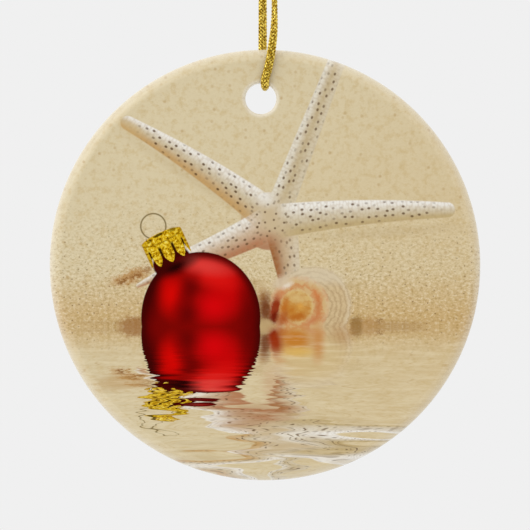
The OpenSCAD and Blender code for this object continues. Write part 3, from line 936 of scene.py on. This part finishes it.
dark_rim = node(picture, "MapRange", [ball_at, 0.84, 1.0, 0.0, 0.8],
                interpolation_type="SMOOTHSTEP")
ball = node(picture, "Mix", {"Factor": dark_rim, "A": ball, "B": linear("#380200")},
            data_type="RGBA").outputs[2]
paint = node(picture, "Mix", {"Factor": ball_cover, "A": paint, "B": ball},
             data_type="RGBA").outputs[2]

# %% Wire ring and gold cap
RING_CENTRE, RING_R = (-18.85, 6.55, 0.0), 2.12
CAP_CENTRE, CAP_TURN = (-15.75, 1.0, 0.0), (0.0, 0.0, math.radians(25))
CAP_HALF, TOOTH = 3.7, math.radians(18)
ring_at = node(picture, "VectorMath", [seen, RING_CENTRE], operation="DISTANCE").outputs["Value"]
ring_off = node(picture, "Math", [node(picture, "Math", [ring_at, RING_R], operation="SUBTRACT")],
                operation="ABSOLUTE")
ring_cover = node(picture, "MapRange", [ring_off, 0.06, 0.19, 0.9, 0.0])
paint = node(picture, "Mix", {"Factor": ring_cover, "A": paint, "B": linear("#7C6A40")},
             data_type="RGBA").outputs[2]

cap_at = node(picture, "Mapping", [seen, CAP_CENTRE, CAP_TURN], vector_type="TEXTURE")
axes = node(picture, "SeparateXYZ", [cap_at])
a, b = axes.outputs["X"], axes.outputs["Y"]
turned = node(picture, "Math", [node(picture, "Math", [a, CAP_HALF], operation="DIVIDE")],
              operation="ARCSINE")
arc = node(picture, "Math", [turned], operation="COSINE")
teeth = node(picture, "Math", [turned, TOOTH], operation="PINGPONG")
teeth = node(picture, "Math", [teeth, TOOTH], operation="DIVIDE")
top = node(picture, "Math", [arc, 0.85, 4.1], operation="MULTIPLY_ADD")
low = node(picture, "Math", [arc, -0.5, 0.0], operation="MULTIPLY_ADD")
low = node(picture, "Math", [node(picture, "Math", [teeth, 1.7], operation="POWER"), 1.8, low],
           operation="MULTIPLY_ADD")
above_low = node(picture, "MapRange", [node(picture, "Math", [b, low], operation="SUBTRACT"), -0.05,
                                       0.1, 0.0, 1.0])
below_top = node(picture, "MapRange", [node(picture, "Math", [top, b], operation="SUBTRACT"), -0.05,
                                       0.1, 0.0, 1.0])
between = node(picture, "MapRange", [node(picture, "Math", [a], operation="ABSOLUTE"),
                                     CAP_HALF - 0.12, CAP_HALF, 1.0, 0.0])
cap_cover = node(picture, "Math", [node(picture, "Math", [above_low, below_top],
                                        operation="MULTIPLY"), between], operation="MULTIPLY")
foil = node(picture, "TexNoise", {"Vector": cap_at, "Scale": 1.9, "Detail": 2.5, "Roughness": 0.8,
                                  "Distortion": 0.5}, noise_dimensions="2D")
foil = node(picture, "ValToRGB", [foil])
stops = foil.color_ramp.elements
for place, colour in ((0.28, "#4A3000"), (0.40, "#A87800"), (0.50, "#D9AE12"), (0.60, "#E8C830"),
                      (0.72, "#F6E678")):
    stops.new(place).color = linear(colour)
stops.remove(stops[0])
stops.remove(stops[-1])
turning_away = node(picture, "MapRange", [arc, 0.75, 0.2, 0.0, 0.6])
gold = node(picture, "Mix", {"Factor": turning_away, "A": foil.outputs["Color"],
                             "B": linear("#9A6C00")}, data_type="RGBA")
slots = node(picture, "MapRange", [teeth, 0.72, 0.86, 0.0, 0.97])
slots = node(picture, "Math", [slots, node(picture, "MapRange", [b, 2.9, 2.4, 0.0, 1.0])],
             operation="MULTIPLY")
gold = node(picture, "Mix", {"Factor": slots, "A": gold, "B": linear("#2A0800")}, data_type="RGBA")
lip = node(picture, "Math", [arc, -0.85, 4.1], operation="MULTIPLY_ADD")
lip = node(picture, "Math", [node(picture, "Math", [b, lip], operation="SUBTRACT")],
           operation="ABSOLUTE")
lip = node(picture, "MapRange", [lip, 0.04, 0.2, 0.55, 0.0])
gold = node(picture, "Mix", {"Factor": lip, "A": gold, "B": linear("#7A5600")},
            data_type="RGBA").outputs[2]
paint = node(picture, "Mix", {"Factor": cap_cover, "A": paint, "B": gold},
             data_type="RGBA").outputs[2]
paint = dabs(picture, paint, seen, [
    (-18.0, 5.05, 0.9, 0.22, 27, 0.3, 0.9, "#2E1C00"),
    (-19.5, 3.9, 0.5, 0.22, 35, 0.5, 0.6, "#4E3500"),
    (-15.7, 6.0, 0.75, 0.32, 20, 0.5, 0.55, "#5E5012"),
])

# %% [markdown]
# ### On the water
#
# The mirror image of the shell is only an amber glow, as the water there is stirred. Long thin
# streaks of light and shade lie over all of the water except the ball's red mirror image.

# %% Glow and streaks
rippled = node(picture, "CombineXYZ", [seen_x, z]).outputs[0]
paint = dabs(picture, paint, rippled, [
    (8.0, -15.5, 6.0, 4.2, 0, 0.45, 0.92, "#D2BA8A"),
    (5.2, -12.7, 2.6, 1.9, 0, 0.7, 0.95, "#C47A22"),
    (5.4, -14.7, 2.6, 0.8, 0, 0.9, 0.85, "#DDB460"),
    (1.8, -12.9, 1.0, 1.9, 15, 0.8, 0.95, "#9A300A"),
    (9.0, -13.0, 0.9, 2.8, 0, 0.9, 0.8, "#C5833F"),
    (13.0, -11.8, 1.8, 1.6, 0, 0.9, 0.55, "#B58957"),
    (0.9, -20.0, 1.2, 2.5, 0, 0.9, 0.5, "#C59A74"),
    (-1.0, -25.2, 4.5, 1.6, 0, 0.9, 0.6, "#A9744C"),
    (-24.5, -19.8, 3.5, 1.2, 0, 0.8, 0.5, "#B98F55"),
])
streak_at = node(picture, "CombineXYZ", [node(picture, "Math", [x, 0.09], operation="MULTIPLY"), z])
streaks = node(picture, "TexNoise", {"Vector": streak_at, "Scale": 1.5, "Detail": 3.0,
                                     "Roughness": 0.7}, noise_dimensions="2D")
streaks = node(picture, "MapRange", [streaks, 0.3, 0.7, -1.0, 1.0])
wet = node(picture, "MapRange", [depth, 0.0, 3.0, 0.0, 1.0])
bright = node(picture, "Math", [node(picture, "Math", [streaks, 0.3], operation="MULTIPLY"), wet],
              operation="MULTIPLY")
dull = node(picture, "Math", [node(picture, "Math", [streaks, -0.16], operation="MULTIPLY"), wet],
            operation="MULTIPLY")
not_red = node(picture, "MapRange", [node(picture, "SeparateColor", [paint]).outputs["Green"], 0.02,
                                     0.2, 0.0, 1.0])
bright = node(picture, "Math", [bright, not_red], operation="MULTIPLY")
dull = node(picture, "Math", [dull, not_red], operation="MULTIPLY")
paint = node(picture, "Mix", {"Factor": bright, "A": paint, "B": linear("#EADBB8")},
             data_type="RGBA").outputs[2]
paint = node(picture, "Mix", {"Factor": dull, "A": paint, "B": linear("#B8995F")},
             data_type="RGBA").outputs[2]
picture.links.new(paint, result["Colour"])
print(f"picture: {len(picture.nodes)} nodes, an arm: {len(arm.nodes)}, a whorl: {len(whorl.nodes)}")

# %% [markdown]
# ## The picture's material
#
# The coat is clear polyester resin, sprayed on and baked. It bends light by about 1.5, and it
# shines a little less sharply than the glaze. The picture is soaked into it, so it belongs to the
# disc's own place: the group gets every point in millimetres from the disc's centre. Over the
# rounded rim the dye is pressed on less and the white glaze below shows more and more.

# %% Picture coat
RIM_FADE_W, HOLE_FADE_W = 1.3, 0.8
picture_coat, tree, shader = new_material("picture_coat")
shader.inputs["Roughness"].default_value = 0.12
shader.inputs["IOR"].default_value = 1.5
place = node(tree, "TexCoord").outputs["Object"]
place = node(tree, "SeparateXYZ", [place])
right = node(tree, "Math", [place.outputs["X"], 1 / MM], operation="MULTIPLY")
above = node(tree, "Math", [place.outputs["Z"], 1 / MM, -DISC_CENTRE[2]], operation="MULTIPLY_ADD")
spot = node(tree, "CombineXYZ", [right, above])
colour = node(tree, "Group", {"Point": spot}, node_tree=picture).outputs["Colour"]
from_centre = node(tree, "VectorMath", [spot], operation="LENGTH").outputs["Value"]
rim_fade = node(tree, "MapRange", [from_centre, DISC_R - RIM_FADE_W, DISC_R, 0.0, 0.28])
from_hole = node(tree, "VectorMath", [spot, (*HOLE_CENTRE, 0)],
                 operation="DISTANCE").outputs["Value"]
hole_fade = node(tree, "MapRange", [from_hole, HOLE_R + HOLE_FADE_W, HOLE_R, 0.0, 0.5])
fade = node(tree, "Math", [rim_fade, hole_fade], operation="MAXIMUM")
printed = node(tree, "Mix", {"Factor": fade, "A": colour, "B": linear(GLAZE_WHITE)},
               data_type="RGBA")
tree.links.new(printed.outputs[2], shader.inputs["Base Color"])

# %% [markdown]
# ## Making the pieces
#
# The cord first, then the disc's two pieces. Each stands for CAD nodes, and the disc's two pieces
# move with the disc's body.

# %% Gold cord
CORE_END, CORE_RINGS, CORE_CORNERS = 0.6, 420, 8
yarn_points, yarn_uv = braid_yarns()
core_along = np.linspace(CORE_END, CORD_LENGTH - CORE_END, CORE_RINGS)
middle, broad, thin, width = cord_frame(core_along)
around = np.arange(CORE_CORNERS)[None, :, None] * 2 * np.pi / CORE_CORNERS
core_broad = broad[:, None] * np.cos(around) * (width[:, None] / 2 - CORE_INSET)
core_thin = thin[:, None] * np.sin(around) * (CORD_T / 2 - CORE_INSET)
core_points = middle[:, None] + core_broad + core_thin
yarn_faces = closed_tubes(yarn_points)
yarn_count = yarn_points[..., 0].size
core_faces = [[corner + yarn_count for corner in face] for face in closed_tubes(core_points[None])]
cord_points = np.vstack([yarn_points.reshape(-1, 3), core_points.reshape(-1, 3)])
core_uv = np.zeros((core_points[..., 0].size, 2))
cord_uv = np.vstack([yarn_uv.reshape(-1, 2), core_uv])
# The core's faces take the near-black core material, which is painted shade for the gaps between
# the yarns.
is_core = np.repeat([0, 1], [len(yarn_faces), len(core_faces)]).astype(np.int32)
gold_cord = make_mesh("gold_cord", cord_points, yarn_faces + core_faces, [gold_yarn, core_painted_shade],
                      cord_uv, is_core)
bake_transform(gold_cord)
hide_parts("cord_bight", "cord_front_leg", "cord_back_leg", "cord_knot",
            "cord_front_tail", "cord_back_tail")

# %% Glazed disc and picture coat
disc = skin_of_circles("glazed_disc", glazed_disc_rows(), [white_glaze])
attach(disc, "disc")
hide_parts("porcelain_disc", "glaze")

coat = skin_of_circles("picture_coat_skin", coat_rows(), [picture_coat])
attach(coat, "disc")
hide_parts("picture_coat")

# %% [markdown]
# ## Light and background
#
# The surround is soft white light from all sides except behind the camera, where a dark card keeps
# the glossy coat from mirroring anything. The camera itself sees an even pale grey behind the
# ornament, from whichever side it looks. The key lamp is a large soft square at the upper left.

# %% Surround and key lamp
BACKGROUND_GREY = "#F0F0F0"
world = bpy.data.worlds.new("soft surround")
bpy.context.scene.world = world
world.use_nodes = True
tree = world.node_tree
surround = tree.nodes["Background"]
direction = node(tree, "TexCoord").outputs["Generated"]
toward_camera = node(tree, "VectorMath", [direction, (0.0, -1.0, 0.0)],
                     operation="DOT_PRODUCT").outputs["Value"]
card = node(tree, "MapRange", [toward_camera, 0.93, 0.98, 1.0, 0.02],
            interpolation_type="SMOOTHSTEP")
slant = node(tree, "VectorMath", [direction, (-0.62, -0.33, 0.71)],
             operation="DOT_PRODUCT").outputs["Value"]
brightness = node(tree, "Math", [slant, 0.16, 0.99], operation="MULTIPLY_ADD")
brightness = node(tree, "Math", [card, brightness], operation="MULTIPLY")
is_background = node(tree, "LightPath").outputs["Is Camera Ray"]
brightness = node(tree, "Mix", {"Factor": is_background, "A": brightness,
                                "B": linear(BACKGROUND_GREY)[0]})
surround.inputs["Color"].default_value = (1.0, 1.0, 1.0, 1.0)
tree.links.new(brightness.outputs[0], surround.inputs["Strength"])

key_data = bpy.data.lights.new("key lamp", "AREA")
key_data.shape, key_data.size, key_data.energy = "SQUARE", 0.5, 1.0
key = bpy.data.objects.new("key lamp", key_data)
key.location = (-0.60, -0.42, 0.42)
aim = key.location * -1
aim.z += DISC_CENTRE[2] * MM
key.rotation_euler = aim.to_track_quat("-Z", "Y").to_euler()
bpy.context.scene.collection.objects.link(key)

bpy.context.scene.view_settings.view_transform = "Standard"
